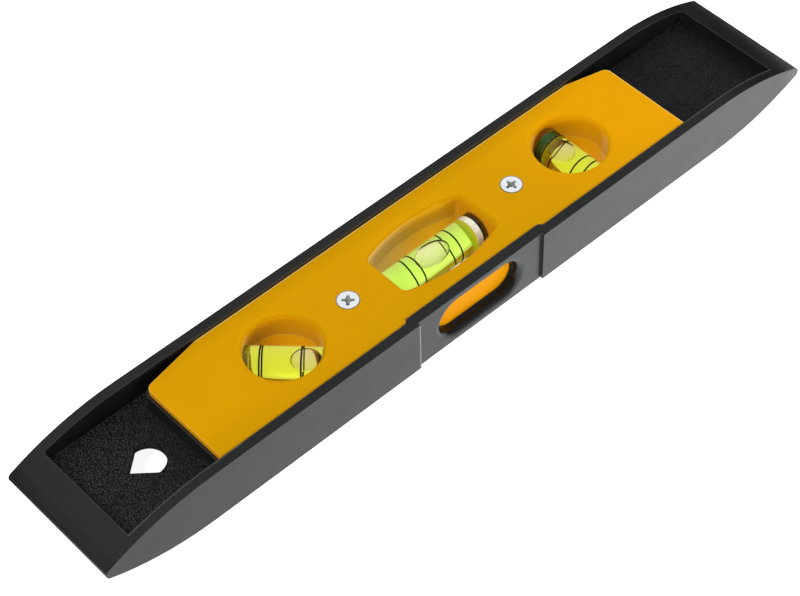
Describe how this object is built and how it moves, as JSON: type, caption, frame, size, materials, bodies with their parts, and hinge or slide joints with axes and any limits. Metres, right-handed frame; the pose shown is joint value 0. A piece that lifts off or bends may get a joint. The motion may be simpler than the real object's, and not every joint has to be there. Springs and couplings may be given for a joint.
{
  "type": "torpedo spirit level",
  "caption": "Pocket spirit level: a black frame with tapered ends and a hanging hole, holding a yellow two-part holder with level, plumb and 45 degree vials.",
  "frame": {"origin": "below the middle of the frame, on the plane of its rear rims, which it lies on", "axes": "+X along the length, away from the end with the hanging hole; +Y towards the measuring edge, -Y towards the top edge with the read-out slot; +Z out of the front face"},
  "size_m": [0.23, 0.0364, 0.0162],
  "materials": {
    "body": "grained in the pockets, satin on the rims and edges",
    "cover": "satin yellow, slightly translucent",
    "screw": "bright zinc",
    "tube": "clear acrylic",
    "liquid": "clear yellow-green liquid",
    "level_plug": "white plug",
    "seal": "black rubber disc",
    "plumb_plug": "dark green plug",
    "angle_plug": "olive plug",
    "ring": "printed black line"
  },
  "bodies": {
    "root": {"body": "body", "front_cover": "cover", "rear_cover": "cover", "screw_left": "screw", "screw_right": "screw", "level_tube": "tube", "level_liquid": "liquid", "level_plug": "level_plug", "level_seal": "seal", "level_ring_left": "ring", "level_ring_right": "ring", "plumb_tube": "tube", "plumb_liquid": "liquid", "plumb_plug": "plumb_plug", "plumb_ring_top": "ring", "plumb_ring_low": "ring", "angle_tube": "tube", "angle_liquid": "liquid", "angle_plug": "angle_plug", "angle_ring_left": "ring", "angle_ring_right": "ring"}
  },
  "joints": []
}
